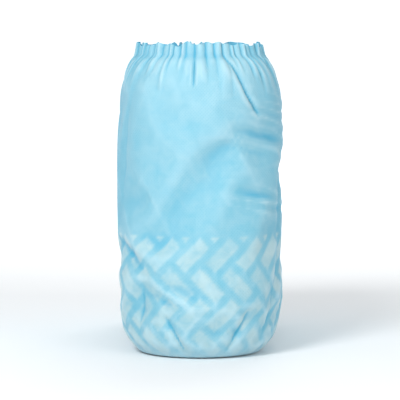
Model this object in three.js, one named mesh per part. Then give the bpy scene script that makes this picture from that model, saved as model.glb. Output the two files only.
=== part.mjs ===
// A disposable shoe cover of nonwoven fabric, folded once from toe to heel and standing on its sole.
// Millimetres, +Z up. The fold faces -Y, the toe and heel ends with their welded seams point to +Y,
// the elastic opening is on top, and the origin is the middle of the bounding box at the floor.
import * as THREE from 'three';

// Driving sizes
const bodyHeight = 159;        // sole to the edge of the hem
const pathHalfLength = 175;    // from the fold to either end seam, along the middle of the puffed cover
const legHalfThickness = 19;   // middle of a leg to its outer panel
const foldGap = 4;             // between the two inner panels, where the cover is doubled
const fabricWall = 1.2;        // nonwoven sheet, drawn thicker than it is
const soleHalfWidth = 9;       // flat strip of the sole that meets the floor
const soleRise = 40;           // height over which the sole rounds up into the sides
const soleTuck = 13;           // how far the toe and heel draw in at the floor
const mouthTuck = 42;          // how far the elastic draws the toe and heel in at the top
const noseLength = 34;         // stretch in which a leg thins to its end seam
const shoulderStart = 100;     // height where the sides begin to lean in
const hemWidth = 6;            // ruffled hem beyond the elastic
const gatherLength = 40;       // how far the gathers reach down from the elastic
const mouthSlot = 13;          // clear way between the two runs of the elastic
const hemLean = 0.8;           // how far the hem edge leans in past the elastic
const pleatDepth = 1.8;        // height of the gathers at the elastic, to either side
const hemPleatDepth = 2.3;     // height of the ruffle at the hem edge
const hemWave = 1.2;           // rise and fall of the hem edge
const elasticDiameter = 2.4;
const seamWidth = 4.2;         // welded flange beyond each end
const seamThickness = 1.2;
const clearance = 0.3;         // between neighbouring solids

// How the sides round over to the elastic: 1 is a straight slope, 2 an ellipse, more is squarer
const toeRoundness = 1.7;
const sideRoundness = 2.4;

// The inner panel is crowded where the cover is doubled, so its gathers are flatter
const innerPleatShare = 0.6;

// Share of their depth by which the pleats vary, and how far the slow waves that vary the pleats and the
// hem edge turn from one column to the next, in radians
const pleatVariety = 0.2;
const pleatVarietyTurn = 2.3;
const hemWaveTurn = 1.9;

// Mesh density
const bendColumns = 20;
const legColumns = 15;
const noseColumns = 5;
const soleRows = 5;
const sideRows = 3;
const shoulderRows = 6;
const elasticSides = 6;

// Soft folds and dents of the outer panel. at: place along the panel, -1 toe to 1 heel. low and high:
// where it starts and ends, as shares of the elastic's height. lean: how far it moves along the panel on
// its way up. width and depth: shares of the leg's half thickness, the depth pressed in.
const folds = [
  { at: 0.105, low: 0.70, high: 1.00, lean: -0.04, width: 0.26, depth: 0.20 },
  { at: -0.11, low: 0.34, high: 0.74, lean: 0.12, width: 0.42, depth: 0.08 },
  { at: -0.03, low: 0.16, high: 0.40, lean: -0.12, width: 0.24, depth: 0.15 },
  { at: 0.13, low: 0.03, high: 0.34, lean: 0.05, width: 0.36, depth: 0.10 },
  { at: -0.03, low: 0.01, high: 0.13, lean: -0.02, width: 0.26, depth: 0.10 },
  { at: -0.48, low: 0.30, high: 0.90, lean: 0.12, width: 0.50, depth: 0.15 },
  { at: 0.52, low: 0.35, high: 0.95, lean: -0.14, width: 0.50, depth: 0.15 },
  { at: -0.70, low: 0.06, high: 0.50, lean: -0.08, width: 0.45, depth: 0.13 },
  { at: 0.74, low: 0.04, high: 0.46, lean: 0.06, width: 0.45, depth: 0.13 },
];

// Sizes that follow from the driving sizes
const elasticHeight = bodyHeight - hemWidth;
const bendRadius = legHalfThickness + foldGap / 2;
const elasticRadius = elasticDiameter / 2;
const elasticOffset = mouthSlot / 2 + elasticRadius;
const mouthHalfWidth = elasticOffset + elasticRadius + clearance + pleatDepth + fabricWall;

const smooth = (share) => {
  const s = THREE.MathUtils.clamp(share, 0, 1);
  return s * s * (3 - 2 * s);
};

// 0 at the floor, 1 where the sole has rounded up into the sides
const soleRound = (z) => {
  const share = THREE.MathUtils.clamp(z / soleRise, 0, 1);
  return Math.sqrt(1 - (1 - share) ** 2);
};

// 0 where the sides begin to lean in, 1 at the elastic, rounding over like a dome
function domed(z, roundness) {
  const share = THREE.MathUtils.clamp((z - shoulderStart) / (elasticHeight - shoulderStart), 0, 1);
  return 1 - (1 - share ** roundness) ** (1 / roundness);
}

// 0 below the gathers, 1 at the elastic
const gathering = (z) => smooth((z - (elasticHeight - gatherLength)) / gatherLength);

// 0 at the elastic, 1 at the hem edge
const hemShare = (z) => THREE.MathUtils.clamp((z - elasticHeight) / (bodyHeight - elasticHeight), 0, 1);

function halfThickness(z) {
  const side = soleHalfWidth + (legHalfThickness - soleHalfWidth) * soleRound(z);
  const leanIn = (legHalfThickness - mouthHalfWidth) * domed(z, sideRoundness);
  return side - leanIn - hemLean * hemShare(z);
}

function endReach(z) {
  return pathHalfLength - soleTuck * (1 - soleRound(z)) - mouthTuck * domed(z, toeRoundness);
}

// Middle line of the folded cover in plan, a U: its point and outward direction at a distance from the fold
function middleLine(distance) {
  const halfBend = Math.PI * bendRadius / 2;
  if (Math.abs(distance) < halfBend) {
    const angle = distance / bendRadius;
    const outward = new THREE.Vector2(Math.sin(angle), -Math.cos(angle));
    return { point: outward.clone().multiplyScalar(bendRadius), outward };
  }
  const side = Math.sign(distance);
  return {
    point: new THREE.Vector2(side * bendRadius, Math.abs(distance) - halfBend),
    outward: new THREE.Vector2(side, 0),
  };
}

// Columns of one panel from the toe seam to the heel seam: where each stands along the panel, as a share of
// the reach at its height, and how much of the leg's thickness it has there
function panelColumns() {
  const bendShare = Math.PI * bendRadius / 2 / pathHalfLength;
  const noseShare = noseLength / pathHalfLength;
  const half = [];
  for (let i = 0; i <= bendColumns / 2; i += 1) {
    half.push({ along: bendShare * i / (bendColumns / 2), fullness: 1 });
  }
  for (let i = 1; i <= legColumns; i += 1) {
    half.push({ along: bendShare + (1 - noseShare - bendShare) * i / legColumns, fullness: 1 });
  }
  for (let i = 1; i <= noseColumns; i += 1) {
    const angle = Math.PI / 2 * i / noseColumns;
    const fullness = i < noseColumns ? Math.cos(angle) : 0;
    half.push({ along: 1 - noseShare * (1 - Math.sin(angle)), fullness });
  }
  const mirrored = half.slice(1).reverse().map(({ along, fullness }) => ({ along: -along, fullness }));
  return [...mirrored, ...half];
}

// How far the folds press the outer panel in at a place along it and a height
function pressedIn(along, z) {
  let total = 0;
  for (const fold of folds) {
    const up = (z / elasticHeight - fold.low) / (fold.high - fold.low);
    if (up > 0 && up < 1) {
      const away = (along - fold.at - fold.lean * up) * pathHalfLength;
      const reach = fold.width * legHalfThickness;
      total += fold.depth * legHalfThickness * Math.exp(-((away / reach) ** 2)) * Math.sin(Math.PI * up);
    }
  }
  return total;
}

// In-and-out of the gathers: neighbouring columns alternate, and some pleats are deeper than others
function pleat(column, side, z) {
  const depth = pleatDepth * gathering(z) + (hemPleatDepth - pleatDepth) * hemShare(z);
  const variety = 1 - pleatVariety + pleatVariety * Math.sin(pleatVarietyTurn * column);
  return (column % 2 ? 1 : -1) * depth * variety * (side > 0 ? 1 : innerPleatShare);
}

// One closed loop of points around the cover at a height: out along the outer panel from the toe end to the
// heel end, and back along the inner panel. offsetAt gives the distance from the middle line at a column.
function loopAround(columns, reach, offsetAt, heightAt) {
  const last = columns.length - 1;
  const at = (index, side) => {
    const { along, fullness } = columns[index];
    const { point, outward } = middleLine(along * reach);
    const offset = side * fullness * offsetAt(index, side);
    return new THREE.Vector3(point.x + outward.x * offset, point.y + outward.y * offset, heightAt(index));
  };
  const outer = columns.slice(0, last).map((_, i) => at(i, 1));
  const inner = columns.slice(0, last).map((_, i) => at(last - i, -1));
  return [...outer, ...inner];
}

// A face of the fabric at a height: inset 0 gives the outside, fabricWall the inside
function fabricLoop(columns, z, inset) {
  const thickness = halfThickness(z) - inset;
  const offsetAt = (index, side) => {
    const press = side > 0 ? pressedIn(columns[index].along, z) : 0;
    return thickness + pleat(index, side, z) - press;
  };
  const heightAt = (index) => Math.max(z, inset) + hemWave * hemShare(z) * Math.sin(hemWaveTurn * index);
  return loopAround(columns, endReach(z) - inset, offsetAt, heightAt);
}

// Heights of the rows of points, closer together where the surface turns
function rowHeights() {
  const heights = [];
  for (let i = 0; i < soleRows; i += 1) {
    heights.push(soleRise * (1 - Math.cos(Math.PI / 2 * i / soleRows)));
  }
  for (let i = 0; i < sideRows; i += 1) {
    heights.push(soleRise + (shoulderStart - soleRise) * i / sideRows);
  }
  for (let i = 0; i <= shoulderRows; i += 1) {
    heights.push(shoulderStart + (elasticHeight - shoulderStart) * Math.sin(Math.PI / 2 * i / shoulderRows));
  }
  heights.push((elasticHeight + bodyHeight) / 2, bodyHeight);
  return heights;
}

function meshFromLoops(loops, capStart, capEnd) {
  const size = loops[0].length;
  const triangles = [];
  const quad = (a, b, c, d) => triangles.push(a, b, c, a, c, d);
  for (let row = 0; row + 1 < loops.length; row += 1) {
    for (let i = 0; i < size; i += 1) {
      const next = (i + 1) % size;
      quad(row * size + i, row * size + next, (row + 1) * size + next, (row + 1) * size + i);
    }
  }
  capStart(triangles, 0, size);
  capEnd(triangles, (loops.length - 1) * size, size);
  const geometry = new THREE.BufferGeometry().setFromPoints(loops.flat());
  geometry.setIndex(triangles);
  geometry.computeVertexNormals();
  return geometry;
}

// Closes a loop by joining each point of the outer panel to the one across from it on the inner panel
function stripCap(turned) {
  return (triangles, base, size) => {
    const across = (i) => base + (size - i) % size;
    const add = (a, b, c) => (turned ? triangles.push(a, c, b) : triangles.push(a, b, c));
    for (let i = 0; i < size / 2; i += 1) {
      if (i > 0) add(base + i, across(i), across(i + 1));
      if (i + 1 < size / 2) add(base + i, across(i + 1), base + i + 1);
    }
  };
}

function coverBody() {
  const columns = panelColumns();
  const heights = rowHeights();
  const outside = heights.map((z) => fabricLoop(columns, z, 0));
  const insideHeights = heights.filter((z) => z === 0 || z > fabricWall);
  const inside = insideHeights.map((z) => fabricLoop(columns, z, fabricWall));
  return meshFromLoops([...outside, ...inside.reverse()], stripCap(false), stripCap(true));
}

// The elastic runs round the inside of the mouth, along both panels and around both ends
function elasticBand() {
  const reach = endReach(elasticHeight) - fabricWall - clearance - elasticDiameter;
  const path = loopAround(panelColumns(), reach, () => elasticOffset, () => elasticHeight);
  const count = path.length;
  const geometry = new THREE.BufferGeometry();
  const points = [];
  const triangles = [];
  path.forEach((centre, i) => {
    const ahead = path[(i + 1) % count].clone().sub(path[(i + count - 1) % count]).normalize();
    const sideways = new THREE.Vector3(ahead.y, -ahead.x, 0);
    for (let j = 0; j < elasticSides; j += 1) {
      const turn = 2 * Math.PI * j / elasticSides;
      points.push(centre.clone()
        .addScaledVector(sideways, elasticRadius * Math.cos(turn))
        .add(new THREE.Vector3(0, 0, elasticRadius * Math.sin(turn))));
      const a = i * elasticSides + j;
      const b = i * elasticSides + (j + 1) % elasticSides;
      const [c, d] = [a, b].map((corner) => (corner + elasticSides) % (count * elasticSides));
      triangles.push(a, c, d, a, d, b);
    }
  });
  geometry.setFromPoints(points);
  geometry.setIndex(triangles);
  geometry.computeVertexNormals();
  return geometry;
}

function flatCap(turned) {
  return (triangles, base) => {
    const [a, b, c, d] = [base, base + 1, base + 2, base + 3];
    if (turned) triangles.push(a, b, c, a, c, d);
    else triangles.push(a, c, b, a, d, c);
  };
}

// Welded flange that stands out past the end of one leg, from the sole to the hem
function endSeam(side) {
  const loops = rowHeights().map((z) => {
    const { point } = middleLine(side * endReach(z));
    const near = point.y + clearance;
    const far = near + seamWidth;
    const half = seamThickness / 2;
    return [
      new THREE.Vector3(point.x - half, near, z),
      new THREE.Vector3(point.x + half, near, z),
      new THREE.Vector3(point.x + half, far, z),
      new THREE.Vector3(point.x - half, far, z),
    ];
  });
  return meshFromLoops(loops, flatCap(false), flatCap(true));
}

const fabric = new THREE.MeshStandardMaterial({ color: 0x8fd2ec, roughness: 0.85, metalness: 0 });
const elasticYarn = new THREE.MeshStandardMaterial({ color: 0xe9f2f4, roughness: 0.8, metalness: 0 });
const weldedEdge = new THREE.MeshStandardMaterial({ color: 0x74c2e4, roughness: 0.55, metalness: 0 });

function piece(name, geometry, material) {
  const mesh = new THREE.Mesh(geometry, material);
  mesh.name = name;
  return mesh;
}

const cover = new THREE.Group();
cover.add(piece('cover_body', coverBody(), fabric));
cover.add(piece('elastic_band', elasticBand(), elasticYarn));
cover.add(piece('toe_seam', endSeam(-1), weldedEdge));
cover.add(piece('heel_seam', endSeam(1), weldedEdge));

// The middle line starts at the centre of the fold's bend, so the whole is moved to stand over the origin
const box = new THREE.Box3().setFromObject(cover);
cover.position.set(-(box.min.x + box.max.x) / 2, -(box.min.y + box.max.y) / 2, -box.min.z);

export default cover;
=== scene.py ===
"""A disposable nonwoven shoe cover, folded once from toe to heel and standing on its tread-printed sole."""

import math
import random
from bisect import bisect_right

import bpy
import numpy as np
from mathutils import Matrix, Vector
from mathutils.noise import noise


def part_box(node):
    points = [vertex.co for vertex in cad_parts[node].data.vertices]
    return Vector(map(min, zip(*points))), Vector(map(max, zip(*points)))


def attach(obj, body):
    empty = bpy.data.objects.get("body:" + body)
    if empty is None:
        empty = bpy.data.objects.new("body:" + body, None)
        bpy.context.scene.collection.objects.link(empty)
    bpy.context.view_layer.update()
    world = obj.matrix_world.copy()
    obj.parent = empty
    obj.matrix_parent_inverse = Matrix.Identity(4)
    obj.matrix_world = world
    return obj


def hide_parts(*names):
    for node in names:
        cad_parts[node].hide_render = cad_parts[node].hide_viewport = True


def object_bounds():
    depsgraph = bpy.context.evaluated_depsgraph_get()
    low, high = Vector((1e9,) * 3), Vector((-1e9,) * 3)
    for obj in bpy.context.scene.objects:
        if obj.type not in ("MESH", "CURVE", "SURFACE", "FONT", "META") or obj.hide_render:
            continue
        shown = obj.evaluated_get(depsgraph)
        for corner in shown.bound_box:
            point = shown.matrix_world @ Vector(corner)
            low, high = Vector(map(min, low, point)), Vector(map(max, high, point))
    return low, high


MM = 0.001
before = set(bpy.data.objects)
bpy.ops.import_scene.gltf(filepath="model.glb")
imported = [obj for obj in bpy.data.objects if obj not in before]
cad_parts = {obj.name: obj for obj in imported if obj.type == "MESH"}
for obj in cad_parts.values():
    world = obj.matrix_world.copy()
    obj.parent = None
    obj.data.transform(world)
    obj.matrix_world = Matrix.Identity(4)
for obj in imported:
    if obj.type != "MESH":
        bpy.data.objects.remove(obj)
CAD_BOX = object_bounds()
BODY_LOW, BODY_HIGH = (Vector(corner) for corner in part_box("cover_body"))

# Sizes of the cover, in millimetres
BODY_HEIGHT = 159
PATH_HALF_LENGTH = 175
LEG_HALF_THICKNESS = 19
FOLD_GAP = 4
SOLE_HALF_WIDTH = 9
SOLE_RISE = 40
SOLE_TUCK = 13
MOUTH_TUCK = 42
NOSE_LENGTH = 34
SHOULDER_START = 100
HEM_WIDTH = 6
ELASTIC_HEIGHT = BODY_HEIGHT - HEM_WIDTH
MOUTH_HALF_WIDTH = 12.2
ELASTIC_OFFSET = 9.2
ELASTIC_END_GAP = 2.4
ELASTIC_RADIUS = 1.2
HEM_LEAN = 1.8
TOE_ROUNDNESS = 1.7
SIDE_ROUNDNESS = 4.6
SIDE_DOME_PART = 0.93
SEAM_WIDTH = 4.2
SEAM_THICKNESS = 0.7
PRINT_HEIGHT = 62
FLOOR_LIFT = 0.5

BEND_RADIUS = LEG_HALF_THICKNESS + FOLD_GAP / 2
HALF_BEND = math.pi * BEND_RADIUS / 2
LEAST_FULLNESS = 0.004
BEND_CENTRE_Y = BODY_HIGH.y / MM - (PATH_HALF_LENGTH - HALF_BEND)
OUTER_STRETCH = (BEND_RADIUS + LEG_HALF_THICKNESS) / BEND_RADIUS
FLAT_HALF_LENGTH = PATH_HALF_LENGTH + HALF_BEND * (OUTER_STRETCH - 1)

# Gathers at the elastic, in millimetres. A pair gives the least and most share of what varies at random.
PLEAT_SEED = 11
PLEAT_PITCH = 5.8
PLEAT_WIDTHS = (0.55, 1.6)
PLEAT_DEPTH = 1.8
PLEAT_DEPTHS = (0.45, 1.15)
PLEAT_SKEWS = (-0.45, 0.45)
PLEAT_LONGEST = 30
PLEAT_SHORTEST = 6
PLEAT_SHORTNESS = 2.4
PLEAT_ROUNDNESS = 0.62
PLEAT_FADE = 1.2
DRAWN_IN = 0.5
DRAWN_FADE = 1.4
SLIT_CHANCE = 0.45
SLIT_DEPTH = 2.4
SLIT_DEPTHS = (0.5, 1.2)
SLIT_WIDTH = 0.9
SLIT_FADE = 10
SLIT_LOSS = 0.75
HEM_RUFFLE = 0.4
HEM_WAVE = 2.2

# Slack of the thin sheet, in millimetres. height: how far it stands out. along and up: how wide and high a
# wave is. layer: its own slice of the noise.
BROAD = dict(height=1.3, along=40, up=60, layer=3.1)
MIDDLING = dict(height=0.55, along=15, up=34, layer=7.7)
DIAGONAL = dict(height=0.45, along=26, up=80, layer=2.2)
SMALL = dict(height=0.95, along=19, up=15, layer=9.4)
TINY = dict(height=0.35, along=8, up=6.5, layer=4.2)
WRINKLES = dict(height=0.9, along=60, up=6.2, layer=6.3)
PLEAT_DRIFT = dict(height=3.0, along=24, up=22, layer=5.0)
FOLD_WANDER = dict(height=2.0, along=1, up=14, layer=1.0)
DIAGONAL_LEAN = 0.8
WRINKLE_LEAN = 0.14
HEM_WAVE_LENGTH = 7

# Where the slack lies, in millimetres: small crumples at the sole, and wrinkles at one side of the fold
CRUMPLED_TOP = 64
CRUMPLED_FADE = 50
WRINKLED_START = 4
WRINKLED_RISE = 34
WRINKLED_END = 104
WRINKLED_FALL = 36
WRINKLED_LOW = 62
WRINKLED_LOW_FADE = 16
WRINKLED_TOP = 142
WRINKLED_TOP_FADE = 20
CALM_HEIGHT = 7

# The inner panel, crowded where the cover is doubled: shares of the gathers and slack, and their limits
INNER_GATHERS = 0.6
INNER_SLACK = 0.4
INNER_PLACE = 400
INNER_DEEPEST = -4
INNER_HIGHEST = 0.8

# The sheet buckles as cloth that is larger than the form it fills. It is simulated on a coarser mesh at ten
# times its size, and a point then moves no further than the play of its panel.
CLOTH_EXCESS = 0.03
CLOTH_FRAMES = 18
CLOTH_SCALE = 10
CLOTH_THINNING = 2
CLOTH_SMOOTHING = 2
CLOTH_HELD_BELOW = 4
CLOTH_HELD_ABOVE = ELASTIC_HEIGHT - 3
CLOTH_SETTINGS = dict(
    quality=6,
    mass=0.15,
    tension_stiffness=15,
    compression_stiffness=15,
    shear_stiffness=6,
    bending_stiffness=0.5,
    shrink_min=-CLOTH_EXCESS,
)
OUTER_PLAY = 2.8
INNER_PLAY = 0.9

# Non-skid print: bars of a herringbone set at 45 degrees, in millimetres and cells
BAR_CELL = 10.8
BAR_GAP = 3.8
BAR_CELLS_LONG = 2
BAR_RAISE = 0.12
BAR_SOFTNESS = 1.8

# Elastic and welds, in millimetres and steps
ELASTIC_STEPS = 300
ELASTIC_SIDES = 10
ELASTIC_CROWDING = 0.35
ELASTIC_WAVE = 0.7
ELASTIC_WAVES = 14
WELD_ROWS = 260
WELD_COLUMNS = 12
WELD_START = 0.1
WELD_WAVE = 0.35
WELD_WAVE_LENGTH = 9
WELD_LEAN = 0.8
WELD_LEAN_LENGTH = 24
WELD_DOT_ROWS = 4
WELD_DOT_COLUMNS = 3
WELD_DOT_DEPTH = 0.13

# Density of the sheet's mesh
COLUMNS = 440
NOSE_COLUMNS = COLUMNS // 12
OUTER_ROWS = 122
INNER_ROWS = 56
SOLE_ROWS = 6
PROFILE_STEPS = 400
PROFILE_SPACING = 1.5

# How valleys and ridges are told apart for the painted shade in valleys and the painted highlight on ridges:
# reach in columns and rows, share of the whole, and the depth in millimetres that counts as full
VALLEYS = [
    dict(reach=2, share=0.6, depth=0.35),
    dict(reach=5, share=0.4, depth=1.2),
]

# Soft folds of the outer panel, in millimetres. at: flat distance from the fold's middle. low and high:
# heights where it starts and ends. lean: how far it moves along on its way up. width and depth: its size,
# pressed in where positive. edge: 0 for a soft dent, 1 for a sharp crease.
FOLD_TAPER = 0.7
CREASE_SHARPNESS = 1.6
FOLDS = [
    dict(at=34, low=122, high=153, lean=-15, width=3.0, depth=3.6, edge=0.9),
    dict(at=29, low=126, high=153, lean=-12, width=4.5, depth=-1.8, edge=0.0),
    dict(at=-24, low=52, high=112, lean=38, width=11, depth=1.7, edge=0.1),
    dict(at=20, low=60, high=130, lean=-30, width=9, depth=1.3, edge=0.2),
    dict(at=-11, low=30, high=60, lean=-42, width=6.0, depth=2.2, edge=0.1),
    dict(at=-2, low=24, high=52, lean=-40, width=5.5, depth=-2.0, edge=0.0),
    dict(at=38, low=6, high=56, lean=18, width=6, depth=2.6, edge=0.4),
    dict(at=-10, low=2, high=22, lean=-7, width=3.4, depth=2.6, edge=0.7),
    dict(at=14, low=0, high=26, lean=12, width=4.0, depth=2.2, edge=0.7),
    dict(at=-40, low=6, high=40, lean=10, width=6, depth=2.4, edge=0.5),
    dict(at=52, low=30, high=110, lean=6, width=5, depth=2.0, edge=0.2),
    dict(at=-54, low=64, high=146, lean=10, width=7, depth=2.2, edge=0.3),
    dict(at=-112, low=45, high=136, lean=24, width=10, depth=3.2, edge=0.2),
    dict(at=121, low=52, high=142, lean=-28, width=10, depth=3.2, edge=0.2),
    dict(at=-154, low=9, high=75, lean=-16, width=9, depth=2.8, edge=0.3),
    dict(at=160, low=6, high=69, lean=12, width=9, depth=2.8, edge=0.3),
    dict(at=-90, low=4, high=50, lean=-20, width=7, depth=2.4, edge=0.5),
    dict(at=96, low=4, high=60, lean=26, width=7, depth=2.4, edge=0.5),
]


def clamp(value, low=0.0, high=1.0):
    return max(low, min(high, value))


def smooth(value):
    share = clamp(value)
    return share * share * (3 - 2 * share)


# Shape of the puffed and folded cover

def sole_round(z):
    return math.sqrt(1 - (1 - clamp(z / SOLE_RISE)) ** 2)


def domed(z, roundness, part=1.0):
    """0 where the sides begin to lean in, 1 at the elastic, rounding over like a dome or its first part."""
    share = part * clamp((z - SHOULDER_START) / (ELASTIC_HEIGHT - SHOULDER_START))
    whole = 1 - (1 - part ** roundness) ** (1 / roundness)
    return (1 - (1 - share ** roundness) ** (1 / roundness)) / whole


def hem_share(z):
    return clamp((z - ELASTIC_HEIGHT) / (BODY_HEIGHT - ELASTIC_HEIGHT))


def half_thickness(z):
    side = SOLE_HALF_WIDTH + (LEG_HALF_THICKNESS - SOLE_HALF_WIDTH) * sole_round(z)
    lean_in = (LEG_HALF_THICKNESS - MOUTH_HALF_WIDTH) * domed(z, SIDE_ROUNDNESS, SIDE_DOME_PART)
    return side - lean_in - HEM_LEAN * hem_share(z)


def end_reach(z):
    return PATH_HALF_LENGTH - SOLE_TUCK * (1 - sole_round(z)) - MOUTH_TUCK * domed(z, TOE_ROUNDNESS)


def middle_line(distance):
    """Point and outward direction of the U that the cover follows in plan, at a distance from its fold."""
    if abs(distance) < HALF_BEND:
        angle = distance / BEND_RADIUS
        outward = Vector((math.sin(angle), -math.cos(angle), 0))
        return outward * BEND_RADIUS + Vector((0, BEND_CENTRE_Y, 0)), outward
    side = math.copysign(1, distance)
    return Vector((side * BEND_RADIUS, BEND_CENTRE_Y + abs(distance) - HALF_BEND, 0)), Vector((side, 0, 0))


def fullness(along):
    """How much of the leg's thickness is left near an end seam."""
    into_nose = clamp((abs(along) - (1 - NOSE_LENGTH / PATH_HALF_LENGTH)) * PATH_HALF_LENGTH / NOSE_LENGTH)
    return math.sqrt(max(LEAST_FULLNESS ** 2, 1 - into_nose ** 2))


def flat_from_along(along):
    """Distance on the flat sheet from the fold's middle, measured along the outer panel."""
    distance = abs(along) * PATH_HALF_LENGTH
    flat = min(distance, HALF_BEND) * OUTER_STRETCH + max(distance - HALF_BEND, 0)
    return math.copysign(flat, along)


def along_from_flat(flat):
    distance = abs(flat)
    bend = HALF_BEND * OUTER_STRETCH
    path = distance / OUTER_STRETCH if distance < bend else distance - bend + HALF_BEND
    return math.copysign(min(path / PATH_HALF_LENGTH, 1), flat)


def profile_table():
    """Length of the sheet up the side from the sole's middle, against height."""
    lengths = [SOLE_HALF_WIDTH]
    heights = [0.0]
    for i in range(1, PROFILE_STEPS + 1):
        z = BODY_HEIGHT * (i / PROFILE_STEPS) ** PROFILE_SPACING
        rise = math.hypot(z - heights[-1], half_thickness(z) - half_thickness(heights[-1]))
        lengths.append(lengths[-1] + rise)
        heights.append(z)
    return lengths, heights


SIDE_LENGTHS, SIDE_HEIGHTS = profile_table()
FLAT_HALF_HEIGHT = SIDE_LENGTHS[-1]


def height_at(length):
    """Height of a place on the sheet, from its distance up from the sole's middle."""
    if length <= SOLE_HALF_WIDTH:
        return 0.0
    index = min(bisect_right(SIDE_LENGTHS, length), len(SIDE_LENGTHS) - 1)
    share = (length - SIDE_LENGTHS[index - 1]) / (SIDE_LENGTHS[index] - SIDE_LENGTHS[index - 1])
    return SIDE_HEIGHTS[index - 1] + share * (SIDE_HEIGHTS[index] - SIDE_HEIGHTS[index - 1])


def length_at(height):
    index = min(max(bisect_right(SIDE_HEIGHTS, height), 1), len(SIDE_HEIGHTS) - 1)
    share = (height - SIDE_HEIGHTS[index - 1]) / (SIDE_HEIGHTS[index] - SIDE_HEIGHTS[index - 1])
    return SIDE_LENGTHS[index - 1] + share * (SIDE_LENGTHS[index] - SIDE_LENGTHS[index - 1])


# Gathers, folds and creases: how far the sheet stands out or is pressed in

def pleat_table():
    """Edges of the gathers on the flat sheet, and each one's length, depth, skew and slit."""
    chance = random.Random(PLEAT_SEED)
    edges = [-FLAT_HALF_LENGTH]
    pleats = []
    while edges[-1] < FLAT_HALF_LENGTH:
        edges.append(edges[-1] + PLEAT_PITCH * chance.uniform(*PLEAT_WIDTHS))
        long = chance.random() ** PLEAT_SHORTNESS
        reach = PLEAT_SHORTEST + (PLEAT_LONGEST - PLEAT_SHORTEST) * long
        slit = SLIT_DEPTH * chance.uniform(*SLIT_DEPTHS) if chance.random() < SLIT_CHANCE else 0.0
        depth = PLEAT_DEPTH * chance.uniform(*PLEAT_DEPTHS)
        pleats.append((reach, depth, chance.uniform(*PLEAT_SKEWS), slit))
    return edges, pleats


PLEAT_EDGES, PLEATS = pleat_table()


def ridged(place):
    return 1 - 2 * abs(noise(place))


def noise_place(wave, flat, z):
    return Vector((flat / wave["along"], z / wave["up"], wave["layer"]))


def gathers(flat, z):
    """Rounded ridges with sharp valleys and slits between them, fading out down the side."""
    drift = PLEAT_DRIFT["height"] * noise(noise_place(PLEAT_DRIFT, flat, z)) * (1 - domed(z, 1))
    index = int(clamp(bisect_right(PLEAT_EDGES, flat + drift) - 1, 0, len(PLEATS) - 1))
    start, end = PLEAT_EDGES[index], PLEAT_EDGES[index + 1]
    reach, depth, skew, slit = PLEATS[index]
    across = clamp((flat + drift - start) / (end - start))
    bulge = clamp(across + skew * across * (1 - across))
    ridge = math.sin(math.pi * bulge) ** PLEAT_ROUNDNESS
    fade = smooth((z - (ELASTIC_HEIGHT - reach)) / reach) ** PLEAT_FADE
    drawn = smooth((z - (ELASTIC_HEIGHT - PLEAT_LONGEST)) / PLEAT_LONGEST) ** DRAWN_FADE
    shallower = 1 - SLIT_LOSS * smooth((z - ELASTIC_HEIGHT + SLIT_FADE) / SLIT_FADE)
    cut = slit * fade * shallower * (1 - hem_share(z)) * math.exp(-(across * (end - start) / SLIT_WIDTH) ** 2)
    height = depth * fade * ridge - DRAWN_IN * PLEAT_DEPTH * drawn - cut
    return height * (1 + HEM_RUFFLE * hem_share(z))


def folds(flat, z):
    """Creases and dents of the outer panel that show in the fold and on the sides."""
    total = 0.0
    for fold in FOLDS:
        up = (z - fold["low"]) / (fold["high"] - fold["low"])
        if not 0 < up < 1:
            continue
        wander = FOLD_WANDER["height"] * noise(noise_place(FOLD_WANDER, fold["at"], z))
        away = abs(flat - fold["at"] - fold["lean"] * up - wander) / fold["width"]
        soft = math.exp(-away ** 2)
        sharp = math.exp(-CREASE_SHARPNESS * away)
        shape = soft + (sharp - soft) * fold["edge"]
        total -= fold["depth"] * shape * math.sin(math.pi * up) ** FOLD_TAPER
    return total


def crumples(flat, z):
    """Slack of the thin sheet: broad waves, diagonal pulls, wrinkles at one side and crumples at the sole."""
    broad = BROAD["height"] * noise(noise_place(BROAD, flat, z))
    middling = MIDDLING["height"] * noise(noise_place(MIDDLING, flat, z))
    across, upward = flat + DIAGONAL_LEAN * z, z - DIAGONAL_LEAN * flat
    diagonal = DIAGONAL["height"] * ridged(noise_place(DIAGONAL, across, upward))
    sole = smooth((CRUMPLED_TOP - z) / CRUMPLED_FADE)
    small = SMALL["height"] * sole * ridged(noise_place(SMALL, flat, z))
    tiny = TINY["height"] * sole * ridged(noise_place(TINY, flat, z))
    beside = (
        smooth((flat - WRINKLED_START) / WRINKLED_RISE)
        * smooth((WRINKLED_END - flat) / WRINKLED_FALL)
        * smooth((z - WRINKLED_LOW) / WRINKLED_LOW_FADE)
        * smooth((WRINKLED_TOP - z) / WRINKLED_TOP_FADE)
    )
    wrinkle = WRINKLES["height"] * beside * ridged(noise_place(WRINKLES, flat, z + WRINKLE_LEAN * flat))
    return broad + middling + diagonal + small + tiny + wrinkle


def relief(flat, side, z):
    """Distance that the sheet stands out from the plain puffed form, in millimetres."""
    near_floor = smooth(z / CALM_HEIGHT)
    if side > 0:
        return near_floor * (gathers(flat, z) + folds(flat, z) + crumples(flat, z))
    slack = INNER_GATHERS * gathers(-flat, z) + INNER_SLACK * crumples(flat + INNER_PLACE, z)
    beyond_bend = smooth(abs(flat) / (HALF_BEND * OUTER_STRETCH))
    return near_floor * beyond_bend * clamp(slack, INNER_DEEPEST, INNER_HIGHEST)


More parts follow.
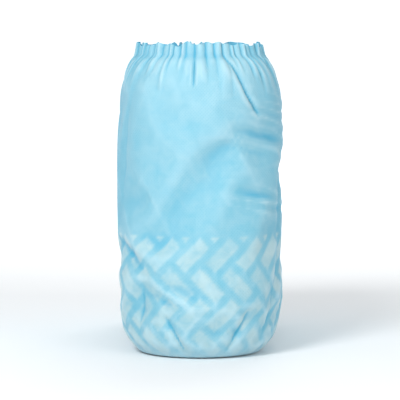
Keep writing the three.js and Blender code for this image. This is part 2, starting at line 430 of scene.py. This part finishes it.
def print_share(flat, length):
    """1 on the bars of the herringbone print, 0 off them, with soft edges, at a place on the flat sheet."""
    turn = math.sqrt(0.5)
    a, b = turn * (flat + length) / BAR_CELL, turn * (flat - length) / BAR_CELL
    i, j = math.floor(a), math.floor(b)
    step = (i - j) % (2 * BAR_CELLS_LONG)
    if step < BAR_CELLS_LONG:
        long, wide = a - (i - step), b - j
    else:
        long, wide = b - (j + step - 2 * BAR_CELLS_LONG + 1), a - i
    inside = min(long, BAR_CELLS_LONG - long, wide, 1 - wide) * BAR_CELL - BAR_GAP / 2
    below_edge = length_at(PRINT_HEIGHT) - abs(length)
    return smooth(0.5 + min(inside, below_edge) / BAR_SOFTNESS)


def surface(along, length):
    """A point of the sheet, in millimetres.

    along runs from -1 at the toe seam to 1 at the heel seam. length runs up from the sole's middle, and is
    negative on the inner panel.
    """
    side = 1 if length >= 0 else -1
    run = abs(length)
    z = height_at(run)
    flat = flat_from_along(along)
    point, outward = middle_line(along * end_reach(z))
    plain = run if run < SOLE_HALF_WIDTH else half_thickness(z)
    offset = fullness(along) * (plain + relief(flat, side, z) + BAR_RAISE * print_share(flat, length))
    wave = HEM_WAVE * hem_share(z) * noise(Vector((flat / HEM_WAVE_LENGTH, side * 3.0, 0.5)))
    place = point + outward * (side * offset)
    return place.x, place.y, z + FLOOR_LIFT + wave


def grid_normals(grid):
    """Outward normals of a grid of points, rows up the sheet and columns along it."""
    normals = np.cross(np.gradient(grid, axis=1), np.gradient(grid, axis=0))
    lengths = np.linalg.norm(normals, axis=2, keepdims=True)
    return normals / np.maximum(lengths, 1e-9)


def between(grid, row, column):
    """A value inside a grid, from the four around it."""
    r = int(clamp(math.floor(row), 0, grid.shape[0] - 2))
    c = int(clamp(math.floor(column), 0, grid.shape[1] - 2))
    up, ahead = clamp(row - r), clamp(column - c)
    low = grid[r, c] * (1 - ahead) + grid[r, c + 1] * ahead
    high = grid[r + 1, c] * (1 - ahead) + grid[r + 1, c + 1] * ahead
    return low * (1 - up) + high * up


# Meshes

def mesh_object(name, points, faces):
    mesh = bpy.data.meshes.new(name)
    mesh.from_pydata(points, [], faces)
    mesh.polygons.foreach_set("use_smooth", [True] * len(mesh.polygons))
    mesh.update()
    piece = bpy.data.objects.new(name, mesh)
    bpy.context.scene.collection.objects.link(piece)
    return piece


def grid_faces(rows, columns, start=0):
    return [
        (start + r * columns + c, start + r * columns + c + 1,
         start + (r + 1) * columns + c + 1, start + (r + 1) * columns + c)
        for r in range(rows - 1) for c in range(columns - 1)
    ]


def column_places():
    """Shares along the panel, closer together in the thinning ends."""
    nose = NOSE_LENGTH / PATH_HALF_LENGTH
    turns = [math.pi / 2 * i / NOSE_COLUMNS for i in range(1, NOSE_COLUMNS + 1)]
    nose_half = [1 - nose * (1 - math.sin(turn)) for turn in turns]
    flat_edge = flat_from_along(1 - nose)
    straight = COLUMNS - 2 * NOSE_COLUMNS
    middle = [along_from_flat(flat_edge * (2 * i / straight - 1)) for i in range(straight + 1)]
    return [-place for place in reversed(nose_half)] + middle + nose_half


def row_lengths():
    """Distances up the sheet from hem to hem, finer on the outer panel."""
    def side_rows(count):
        top = FLAT_HALF_HEIGHT - SOLE_HALF_WIDTH
        return [SOLE_HALF_WIDTH + top * (i / count) for i in range(count + 1)]
    inner = [-length for length in reversed(side_rows(INNER_ROWS))]
    sole = [SOLE_HALF_WIDTH * (2 * i / SOLE_ROWS - 1) for i in range(1, SOLE_ROWS)]
    return inner + sole + side_rows(OUTER_ROWS)


def smoothed(field, times):
    """A grid of vectors in which each is averaged with its neighbours, again and again."""
    for _ in range(times):
        padded = np.pad(field, ((1, 1), (1, 1), (0, 0)), mode="edge")
        field = (padded[:-2, 1:-1] + padded[2:, 1:-1] + padded[1:-1, :-2] + padded[1:-1, 2:]) / 4
    return field


def held_cloth(coarse, rows, lengths):
    """A coarse mesh of the sheet, held at its sole, end seams and elastic."""
    columns = coarse.shape[1]
    points = [tuple(point) for point in (coarse * MM * CLOTH_SCALE).reshape(-1, 3)]
    cloth = mesh_object("settling", points, grid_faces(len(rows), columns))
    pinned = cloth.vertex_groups.new(name="pinned")
    for r, row in enumerate(rows):
        height = height_at(abs(lengths[row]))
        held = height < CLOTH_HELD_BELOW or height > CLOTH_HELD_ABOVE
        held_columns = range(columns) if held else (0, columns - 1)
        pinned.add([r * columns + c for c in held_columns], 1.0, "REPLACE")
    return cloth


def settle(grid, lengths):
    """Lets the slack sheet buckle as cloth, and returns the movement of every coarse point.

    The columns at the very ends, where both panels meet, are left out.
    """
    rows = list(range(0, grid.shape[0], CLOTH_THINNING))
    columns = list(range(CLOTH_THINNING, grid.shape[1] - CLOTH_THINNING, CLOTH_THINNING))
    coarse = grid[np.ix_(rows, columns)]
    cloth = held_cloth(coarse, rows, lengths)
    modifier = cloth.modifiers.new("settle", "CLOTH")
    for name, value in CLOTH_SETTINGS.items():
        setattr(modifier.settings, name, value)
    modifier.settings.vertex_group_mass = "pinned"
    modifier.settings.effector_weights.gravity = 0
    modifier.collision_settings.use_collision = False
    modifier.collision_settings.use_self_collision = False
    for number in range(1, CLOTH_FRAMES + 1):
        bpy.context.scene.frame_set(number)
    settled = cloth.evaluated_get(bpy.context.evaluated_depsgraph_get()).to_mesh()
    after = np.empty(coarse.size)
    settled.vertices.foreach_get("co", after)
    bpy.data.objects.remove(cloth)
    bpy.context.scene.frame_set(1)
    return smoothed(after.reshape(coarse.shape) / (MM * CLOTH_SCALE) - coarse, CLOTH_SMOOTHING)


def with_play(grid, movement, places, lengths):
    """The grid with the cloth's movement straight in or out, kept within the play of each panel."""
    moved = grid.copy()
    for r, length in enumerate(lengths):
        panel_play = OUTER_PLAY if length > 0 else INNER_PLAY
        reach = end_reach(height_at(abs(length)))
        for c, along in enumerate(places):
            play = panel_play * fullness(along)
            outward = np.array(middle_line(along * reach)[1])
            shift = between(movement, r / CLOTH_THINNING, c / CLOTH_THINNING - 1)
            out = float(np.dot(shift, outward))
            moved[r, c] += outward * (play * math.tanh(out / play))
    return moved


def hollowness(grid, normals, reach):
    """How deep each point lies in a valley, against points a few columns and rows away."""
    rows, columns = grid.shape[:2]
    wider = np.pad(grid, ((reach, reach), (reach, reach), (0, 0)), mode="reflect", reflect_type="odd")
    total = np.zeros((rows, columns))
    for up, ahead in ((-reach, 0), (reach, 0), (0, -reach), (0, reach)):
        near = wider[reach + up:reach + up + rows, reach + ahead:reach + ahead + columns]
        total += np.einsum("rck,rck->rc", near - grid, normals) / 4
    return total


def sheet_grid():
    """Places of the columns, lengths of the rows, and the points of the whole cover body in millimetres."""
    places = column_places()
    lengths = row_lengths()
    grid = np.array([[surface(along, length) for along in places] for length in lengths])
    grid = with_play(grid, settle(grid, lengths), places, lengths)
    grid[:, :, 2] = np.maximum(grid[:, :, 2], FLOOR_LIFT)
    return places, lengths, grid


def point_attribute(piece, name, values):
    attribute = piece.data.attributes.new(name, "FLOAT", "POINT")
    attribute.data.foreach_set("value", values)


def fabric_sheet(places, lengths, grid):
    """The whole cover body: one sheet folded along the sole, from the inner hem to the outer hem."""
    points = (grid * MM).reshape(-1, 3).tolist()
    piece = mesh_object("cover_sheet", points, grid_faces(len(lengths), len(places)))
    flats = [(flat_from_along(along) * MM, length * MM) for length in lengths for along in places]
    layer = piece.data.uv_layers.new(name="flat")
    for loop in piece.data.loops:
        layer.data[loop.index].uv = flats[loop.vertex_index]
    normals = grid_normals(grid)
    # how deep each point lies in a valley, below zero on ridges: the mask of the painted shade in valleys and
    # the painted highlight on ridges
    depths = sum(v["share"] * hollowness(grid, normals, v["reach"]) / v["depth"] for v in VALLEYS)
    point_attribute(piece, "valley", np.clip(depths, -1, 1).astype(np.float32).ravel())
    point_attribute(piece, "printed", [print_share(flat / MM, length / MM) for flat, length in flats])
    return piece


def elastic_path():
    """Middle of the elastic, along the outer panel and back along the inner one, in millimetres."""
    reach = end_reach(ELASTIC_HEIGHT) - ELASTIC_END_GAP
    path = []
    for side in (1, -1):
        for i in range(ELASTIC_STEPS):
            along = side * (2 * i / ELASTIC_STEPS - 1)
            place = math.sin(math.pi / 2 * along) * ELASTIC_CROWDING + along * (1 - ELASTIC_CROWDING)
            point, outward = middle_line(place * reach)
            offset = side * fullness(place) * ELASTIC_OFFSET
            rise = ELASTIC_WAVE * noise(Vector((place * ELASTIC_WAVES, side * 2.0, 0.0)))
            path.append(point + outward * offset + Vector((0, 0, ELASTIC_HEIGHT + FLOOR_LIFT + rise)))
    return path


def elastic_cord():
    """Round elastic inside the mouth, a closed tube."""
    path = elastic_path()
    total, sides = len(path), ELASTIC_SIDES
    points = []
    for i, centre in enumerate(path):
        forward = (path[(i + 1) % total] - path[i - 1]).normalized()
        sideways = forward.cross(Vector((0, 0, 1))).normalized()
        upward = sideways.cross(forward)
        for j in range(sides):
            turn = 2 * math.pi * j / sides
            round_it = sideways * math.cos(turn) + upward * math.sin(turn)
            points.append((centre + ELASTIC_RADIUS * round_it) * MM)
    faces = [
        (i * sides + j, i * sides + (j + 1) % sides,
         (i + 1) % total * sides + (j + 1) % sides, (i + 1) % total * sides + j)
        for i in range(total) for j in range(sides)
    ]
    return mesh_object("elastic_cord", points, faces)


def weld_point(side, face, r, c):
    """A point of an end weld, r rows up and c columns out, on one of its two faces."""
    z = BODY_HEIGHT * r / WELD_ROWS
    share = c / WELD_COLUMNS
    point, _ = middle_line(side * end_reach(z))
    width = SEAM_WIDTH + WELD_WAVE * noise(Vector((z / WELD_WAVE_LENGTH, side * 4.0, 0.0)))
    lean = WELD_LEAN * noise(Vector((z / WELD_LEAN_LENGTH, side * 9.0, 2.0)))
    dots = math.sin(math.pi * r / WELD_DOT_ROWS) * math.sin(math.pi * c / WELD_DOT_COLUMNS)
    pressed = WELD_DOT_DEPTH * max(0.0, dots)
    half = SEAM_THICKNESS / 2 - pressed if 0 < c < WELD_COLUMNS else 0.0
    x = point.x + face * half + lean * share
    y = point.y + WELD_START + width * share
    return Vector((x, y, z + FLOOR_LIFT)) * MM


def end_weld(name, side):
    """Flat welded flange beyond one end, with a pressed row of dots and a slightly wavy edge."""
    rows, columns = WELD_ROWS + 1, WELD_COLUMNS + 1
    points = [weld_point(side, face, r, c) for face in (1, -1) for r in range(rows) for c in range(columns)]
    front = grid_faces(rows, columns)
    back = [tuple(reversed(f)) for f in grid_faces(rows, columns, rows * columns)]
    return mesh_object(name, points, front + back)


# Materials

def new_material(name):
    material = bpy.data.materials.new(name)
    material.use_nodes = True
    nodes = material.node_tree.nodes
    return material, nodes, material.node_tree.links, nodes["Principled BSDF"]


def noise_node(nodes, links, vector, scale, detail=4.0, distortion=0.0):
    node = nodes.new("ShaderNodeTexNoise")
    node.inputs["Scale"].default_value = scale
    node.inputs["Detail"].default_value = detail
    node.inputs["Distortion"].default_value = distortion
    links.new(vector, node.inputs["Vector"])
    return node.outputs["Fac"]


def scaled(nodes, links, vector, scale, rotation=0.0):
    node = nodes.new("ShaderNodeMapping")
    node.inputs["Scale"].default_value = scale
    node.inputs["Rotation"].default_value = (0, 0, rotation)
    links.new(vector, node.inputs["Vector"])
    return node.outputs["Vector"]


def math_node(nodes, links, operation, first, second):
    node = nodes.new("ShaderNodeMath")
    node.operation = operation
    for socket, value in zip(node.inputs, (first, second)):
        if isinstance(value, (int, float)):
            socket.default_value = value
        else:
            links.new(value, socket)
    return node.outputs["Value"]


def map_range(nodes, links, value, low, high, to_low=0.0, to_high=1.0):
    node = nodes.new("ShaderNodeMapRange")
    for name, number in (("From Min", low), ("From Max", high), ("To Min", to_low), ("To Max", to_high)):
        node.inputs[name].default_value = number
    links.new(value, node.inputs["Value"])
    return node.outputs["Result"]


def mix_colour(nodes, links, factor, first, second):
    node = nodes.new("ShaderNodeMix")
    node.data_type = "RGBA"
    links.new(factor, node.inputs["Factor"])
    for socket, colour in ((node.inputs[6], first), (node.inputs[7], second)):
        if isinstance(colour, tuple):
            socket.default_value = (*colour, 1)
        else:
            links.new(colour, socket)
    return node.outputs[2]


def bump(nodes, links, height, strength, distance, shader):
    node = nodes.new("ShaderNodeBump")
    node.inputs["Strength"].default_value = strength
    node.inputs["Distance"].default_value = distance
    links.new(height, node.inputs["Height"])
    links.new(node.outputs["Normal"], shader.inputs["Normal"])


# Nonwoven: linear colours, scales in cells for each metre of the flat sheet, and places on it in metres
FABRIC_PALE = (0.29, 0.555, 0.655)
FABRIC_MID = (0.15, 0.47, 0.61)
# deep blue of the pressed bond points, and also the painted shade in valleys
FABRIC_DEEP_BONDS_AND_SHADE = (0.01, 0.36, 0.57)
# painted shade: deeper blue put at the sides, where the sheet turns away from the front
FABRIC_PAINTED_SIDE_SHADE = (0.085, 0.41, 0.575)
# painted highlight: paler blue put at the top and on ridges
FABRIC_PAINTED_HIGHLIGHT = (0.48, 0.70, 0.78)
PRINT_PALE = (0.42, 0.605, 0.645)
PRINT_THIN = (0.28, 0.53, 0.62)
WEB_SCALE = 150
WEB_DETAIL = 6
WEB_DISTORTION = 0.6
CLOUD_SCALE = 34
CLOUD_DETAIL = 3
CLOUD_SHARE = 0.45
FABRIC_DENSITIES = (0.28, 0.70)
PRINT_DENSITIES = (0.40, 0.60)
FIBRES = [dict(scale=(900, 3600, 1), turn=0.5), dict(scale=(3400, 800, 1), turn=0.3)]
FIBRE_DETAIL = 3
FIBRE_DISTORTION = 2.0
FIBRE_RELIEF = 0.45
BOND_SCALE = 820
BOND_DISORDER = 0.12
BOND_EDGE = (0.22, 0.36)
BOND_TINT = 0.12
BOND_RELIEF = 0.6
# painted highlight towards the top: heights up the flat sheet in metres where it starts and is full, and how
# much
TOP_HEIGHTS = (0.075, 0.172)
TOP_PAINTED_HIGHLIGHT = 0.26
# painted shade at the sides: distances from the fold's middle in metres where it starts and is full, and how
# much
SIDE_PLACES = (0.030, 0.066)
SIDE_PAINTED_SHADE = 0.75
# painted shade in valleys: valley depths where it starts and is full, and how much
VALLEY_DEPTHS = (0.10, 1.0)
VALLEY_PAINTED_SHADE = 0.72
# painted highlight on ridges: valley depths below zero where it starts and is full, and how much
RIDGE_HEIGHTS = (-0.15, -0.9)
RIDGE_PAINTED_HIGHLIGHT = 0.6
FABRIC_ROUGHNESS = 0.68
PRINT_ROUGHNESS = 0.50
FABRIC_SHEEN = 0.22
SHEEN_ROUGHNESS = 0.45
FABRIC_BUMP = 0.45
FABRIC_BUMP_HEIGHT = 0.00022
# painted glow of the inner side, standing in for light let through the sheet
INNER_PAINTED_GLOW = 0.18

# Elastic and welds
ELASTIC_SHADE = (0.60, 0.70, 0.73)
ELASTIC_WHITE = (0.82, 0.88, 0.90)
ELASTIC_ROUGHNESS = 0.75
ELASTIC_BUMP = 0.5
ELASTIC_BUMP_HEIGHT = 0.0002
RIB_SCALE = 420
RIB_DISTORTION = 1.5
WELD_DEEP = (0.10, 0.44, 0.64)
WELD_PALE = (0.24, 0.58, 0.73)
WELD_SCALE = 420
WELD_RANGE = (0.35, 0.65)
WELD_ROUGHNESS = 0.42
WELD_BUMP = 0.3
WELD_BUMP_HEIGHT = 0.0001


def attribute_value(nodes, name):
    node = nodes.new("ShaderNodeAttribute")
    node.attribute_name = name
    return node.outputs["Fac"]


def bond_dots(nodes, links, flat):
    """0 at the middle of a pressed bond point, 1 between them."""
    bond = nodes.new("ShaderNodeTexVoronoi")
    bond.inputs["Scale"].default_value = 1
    bond.inputs["Randomness"].default_value = BOND_DISORDER
    links.new(scaled(nodes, links, flat, (BOND_SCALE, BOND_SCALE, 1), math.pi / 4), bond.inputs["Vector"])
    return map_range(nodes, links, bond.outputs["Distance"], *BOND_EDGE)


def weighted_sum(nodes, links, *terms):
    """Sum of values, each with its weight."""
    weighted = [math_node(nodes, links, "MULTIPLY", value, weight) for value, weight in terms]
    total = weighted[0]
    for value in weighted[1:]:
        total = math_node(nodes, links, "ADD", total, value)
    return total


def fabric_colour(nodes, links, flat, density, dots, printed):
    """Cloudy blue with its print and bond dots; painted highlight makes it paler at the top and on ridges,
    painted shade deeper at the sides and in valleys.
    """
    split = nodes.new("ShaderNodeSeparateXYZ")
    links.new(flat, split.inputs["Vector"])
    from_fold = math_node(nodes, links, "ABSOLUTE", split.outputs["X"], 0)
    from_sole = math_node(nodes, links, "ABSOLUTE", split.outputs["Y"], 0)
    valley = attribute_value(nodes, "valley")
    thickness = map_range(nodes, links, density, *PRINT_DENSITIES)
    coating = mix_colour(nodes, links, thickness, PRINT_THIN, PRINT_PALE)
    cloudiness = map_range(nodes, links, density, *FABRIC_DENSITIES)
    colour = mix_colour(nodes, links, cloudiness, FABRIC_MID, FABRIC_PALE)
    print_dots_and_painted_light = (
        # painted light: a painted highlight paler towards the top, and painted shade deeper at the sides
        (map_range(nodes, links, from_sole, *TOP_HEIGHTS, 0, TOP_PAINTED_HIGHLIGHT), FABRIC_PAINTED_HIGHLIGHT),
        (map_range(nodes, links, from_fold, *SIDE_PLACES, 0, SIDE_PAINTED_SHADE), FABRIC_PAINTED_SIDE_SHADE),
        (map_range(nodes, links, dots, 0, 1, BOND_TINT, 0), FABRIC_DEEP_BONDS_AND_SHADE),
        (printed, coating),
        # painted light: painted shade in valleys, and a painted highlight on ridges
        (map_range(nodes, links, valley, *VALLEY_DEPTHS, 0, VALLEY_PAINTED_SHADE), FABRIC_DEEP_BONDS_AND_SHADE),
        (map_range(nodes, links, valley, *RIDGE_HEIGHTS, 0, RIDGE_PAINTED_HIGHLIGHT), FABRIC_PAINTED_HIGHLIGHT),
    )
    for amount, overlay_colour in print_dots_and_painted_light:
        colour = mix_colour(nodes, links, amount, colour, overlay_colour)
    return colour


def nonwoven_material():
    """Spunbond sheet: cloudy web of fibres with a regular field of pressed bond points.

    Its inner side has a faint painted glow: it emits its own colour, standing in for the light that real
    nonwoven lets in.
    """
    material, nodes, links, shader = new_material("nonwoven_blue")
    uv_map = nodes.new("ShaderNodeUVMap")
    uv_map.uv_map = "flat"
    flat = uv_map.outputs["UV"]
    printed = attribute_value(nodes, "printed")
    web = noise_node(nodes, links, flat, WEB_SCALE, WEB_DETAIL, WEB_DISTORTION)
    cloud = noise_node(nodes, links, flat, CLOUD_SCALE, CLOUD_DETAIL)
    density = weighted_sum(nodes, links, (web, 1 - CLOUD_SHARE), (cloud, CLOUD_SHARE))
    dots = bond_dots(nodes, links, flat)
    colour = fabric_colour(nodes, links, flat, density, dots, printed)
    links.new(colour, shader.inputs["Base Color"])
    # painted glow: the inner side emits its own colour, as light let through the sheet would look
    inner_side = nodes.new("ShaderNodeNewGeometry").outputs["Backfacing"]
    links.new(colour, shader.inputs["Emission Color"])
    glow = math_node(nodes, links, "MULTIPLY", inner_side, INNER_PAINTED_GLOW)
    links.new(glow, shader.inputs["Emission Strength"])
    roughness = map_range(nodes, links, printed, 0, 1, FABRIC_ROUGHNESS, PRINT_ROUGHNESS)
    links.new(roughness, shader.inputs["Roughness"])
    shader.inputs["Sheen Weight"].default_value = FABRIC_SHEEN
    shader.inputs["Sheen Roughness"].default_value = SHEEN_ROUGHNESS
    heights = [(dots, BOND_RELIEF)]
    for fibre in FIBRES:
        place = scaled(nodes, links, flat, fibre["scale"], fibre["turn"])
        heights.append((noise_node(nodes, links, place, 1, FIBRE_DETAIL, FIBRE_DISTORTION), FIBRE_RELIEF))
    bump(nodes, links, weighted_sum(nodes, links, *heights), FABRIC_BUMP, FABRIC_BUMP_HEIGHT, shader)
    return material


def elastic_material():
    """White elastic yarn with a fine wound rib."""
    material, nodes, links, shader = new_material("elastic_yarn")
    place = nodes.new("ShaderNodeTexCoord").outputs["Object"]
    rib = nodes.new("ShaderNodeTexWave")
    rib.bands_direction = "DIAGONAL"
    rib.inputs["Scale"].default_value = RIB_SCALE
    rib.inputs["Distortion"].default_value = RIB_DISTORTION
    links.new(place, rib.inputs["Vector"])
    colour = mix_colour(nodes, links, rib.outputs["Fac"], ELASTIC_SHADE, ELASTIC_WHITE)
    links.new(colour, shader.inputs["Base Color"])
    shader.inputs["Roughness"].default_value = ELASTIC_ROUGHNESS
    bump(nodes, links, rib.outputs["Fac"], ELASTIC_BUMP, ELASTIC_BUMP_HEIGHT, shader)
    return material


def weld_material():
    """Fused edge: the same blue, denser and a little glossier."""
    material, nodes, links, shader = new_material("welded_edge")
    place = nodes.new("ShaderNodeTexCoord").outputs["Object"]
    fused = noise_node(nodes, links, place, WELD_SCALE)
    colour = mix_colour(nodes, links, map_range(nodes, links, fused, *WELD_RANGE), WELD_DEEP, WELD_PALE)
    links.new(colour, shader.inputs["Base Color"])
    shader.inputs["Roughness"].default_value = WELD_ROUGHNESS
    bump(nodes, links, fused, WELD_BUMP, WELD_BUMP_HEIGHT, shader)
    return material


# Stage, light and camera

FLOOR_COLOUR = (0.90, 0.91, 0.92)
FLOOR_NEAR = -5.0
FLOOR_HALF_WIDTH = 6.0
WALL_PLACE = 4.6
WALL_CURVE = 1.6
WALL_HEIGHT = 4.0
WALL_GLOW = 0.55
GLOW_START = 0.2
GLOW_FULL = 1.0
WALL_CURVE_STEP = 6
FLOOR_ROUGHNESS = 0.9
WORLD_COLOUR = (0.97, 0.99, 1.0)
WORLD_STRENGTH = 0.52
LIGHTS = [
    dict(name="key_light", place=(-0.45, -0.9, 0.8), size=0.4, power=8.8),
    dict(name="fill_light", place=(0.7, -1.0, 0.35), size=0.7, power=3.2),
    dict(name="back_light", place=(0.2, 0.9, 1.1), size=0.8, power=4.0),
]
CAMERA_LENS = 200
CAMERA_ELEVATION = 4
VIEW_HEIGHT = 0.206
AIM_DEPTH = 0.03


def backdrop():
    """Pale floor that curves up into a brighter wall far behind."""
    profile = [(FLOOR_NEAR, 0.0), (0.0, 0.0), (WALL_PLACE - WALL_CURVE, 0.0)]
    for degrees in range(WALL_CURVE_STEP, 90 + 1, WALL_CURVE_STEP):
        turn = math.radians(degrees)
        profile.append((WALL_PLACE - WALL_CURVE * (1 - math.sin(turn)), WALL_CURVE * (1 - math.cos(turn))))
    profile.append((WALL_PLACE, WALL_HEIGHT))
    points = [(x, y, z) for y, z in profile for x in (-FLOOR_HALF_WIDTH, FLOOR_HALF_WIDTH)]
    faces = [(2 * i, 2 * i + 1, 2 * i + 3, 2 * i + 2) for i in range(len(profile) - 1)]
    floor = mesh_object("pale_floor", points, faces)
    material, nodes, links, shader = new_material("pale_floor")
    shader.inputs["Base Color"].default_value = (*FLOOR_COLOUR, 1)
    shader.inputs["Roughness"].default_value = FLOOR_ROUGHNESS
    shader.inputs["Emission Color"].default_value = (*FLOOR_COLOUR, 1)
    place = nodes.new("ShaderNodeSeparateXYZ")
    links.new(nodes.new("ShaderNodeTexCoord").outputs["Object"], place.inputs["Vector"])
    glow = map_range(nodes, links, place.outputs["Y"], GLOW_START, GLOW_FULL, 0, WALL_GLOW)
    links.new(glow, shader.inputs["Emission Strength"])
    floor.data.materials.append(material)


def area_light(name, place, target, size, power):
    light = bpy.data.lights.new(name, "AREA")
    light.shape = "DISK"
    light.size = size
    light.energy = power
    lamp = bpy.data.objects.new(name, light)
    lamp.location = place
    lamp.rotation_euler = (Vector(target) - Vector(place)).to_track_quat("-Z", "Y").to_euler()
    bpy.context.scene.collection.objects.link(lamp)


def studio_light():
    scene = bpy.context.scene
    scene.view_settings.view_transform = "Standard"
    world = bpy.data.worlds.new("soft_studio")
    world.use_nodes = True
    background = world.node_tree.nodes["Background"]
    background.inputs["Color"].default_value = (*WORLD_COLOUR, 1)
    background.inputs["Strength"].default_value = WORLD_STRENGTH
    scene.world = world
    middle = (CAD_BOX[0] + CAD_BOX[1]) / 2
    for light in LIGHTS:
        area_light(light["name"], light["place"], middle, light["size"], light["power"])


def front_camera():
    """Looks at the middle of the fold, a little from above."""
    camera = bpy.data.objects.new("camera", bpy.data.cameras.new("camera"))
    camera.data.lens = CAMERA_LENS
    distance = VIEW_HEIGHT / 2 * CAMERA_LENS / (camera.data.sensor_width / 2)
    elevation = math.radians(CAMERA_ELEVATION)
    away = Vector((0, -math.cos(elevation), math.sin(elevation)))
    front = Vector((0, BODY_LOW.y + AIM_DEPTH, BODY_HEIGHT * MM / 2))
    camera.location = front + away * distance
    camera.rotation_euler = (-away).to_track_quat("-Z", "Y").to_euler()
    bpy.context.scene.collection.objects.link(camera)
    bpy.context.scene.camera = camera


def dress(piece, material, slot, *replaced):
    piece.data.materials.append(material)
    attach(piece, "root")
    if replaced:
        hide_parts(*replaced)


studio_light()
front_camera()
backdrop()
sheet = fabric_sheet(*sheet_grid())
dress(sheet, nonwoven_material(), "nonwoven_fabric", "cover_body")
dress(elastic_cord(), elastic_material(), "elastic", "elastic_band")
weld = weld_material()
dress(end_weld("toe_weld", -1), weld, "welded_edge", "toe_seam")
dress(end_weld("heel_weld", 1), weld, "welded_edge", "heel_seam")
